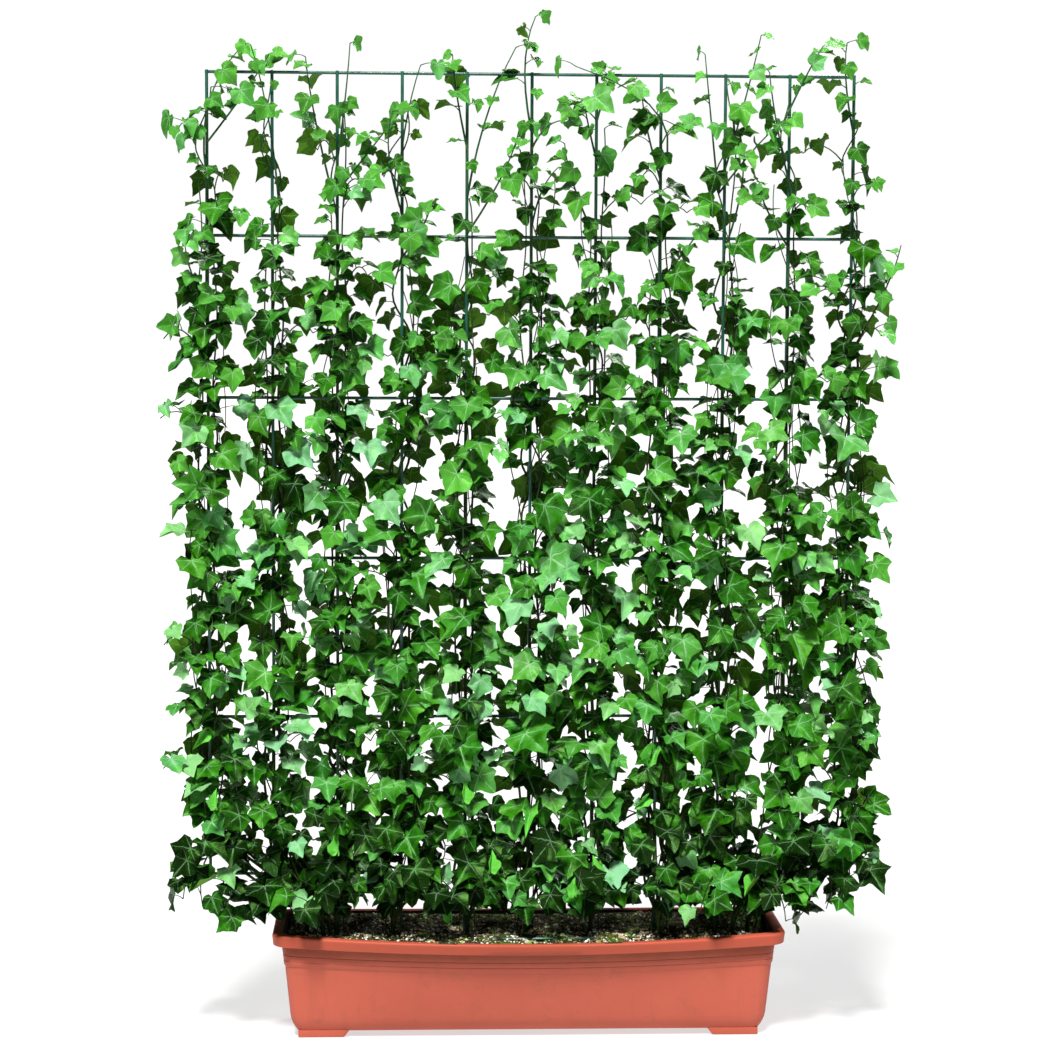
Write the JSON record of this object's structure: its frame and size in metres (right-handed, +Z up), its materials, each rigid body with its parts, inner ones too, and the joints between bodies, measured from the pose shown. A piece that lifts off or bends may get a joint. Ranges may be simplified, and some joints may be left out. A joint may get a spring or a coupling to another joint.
{
  "type": "potted ivy on a trellis",
  "caption": "Ivy wound up the upright wires of a welded trellis, forming a leafy green screen, rooted in a long bowed trough of soil with a turned-down rim and two end feet.",
  "frame": {"origin": "on the ground, midway along the trough and midway through its depth", "axes": "+Z up the trellis; +Y towards the back, through the trellis; the front looks towards -Y"},
  "size_m": [1.1503, 0.285, 1.5921],
  "materials": {
    "trough_plastic": "satin moulded",
    "potting_soil": "rough crumbly",
    "coated_wire": "satin coating",
    "ivy_leaf": "waxy satin leaf"
  },
  "bodies": {
    "root": {"trough": "trough_plastic", "soil": "potting_soil", "trellis": "coated_wire", "loose_rod": "coated_wire", "ivy_1": "ivy_leaf", "ivy_2": "ivy_leaf", "ivy_3": "ivy_leaf", "ivy_4": "ivy_leaf", "ivy_5": "ivy_leaf", "ivy_6": "ivy_leaf", "ivy_7": "ivy_leaf", "ivy_8": "ivy_leaf", "ivy_9": "ivy_leaf", "ivy_10": "ivy_leaf", "ivy_11": "ivy_leaf"}
  },
  "joints": []
}
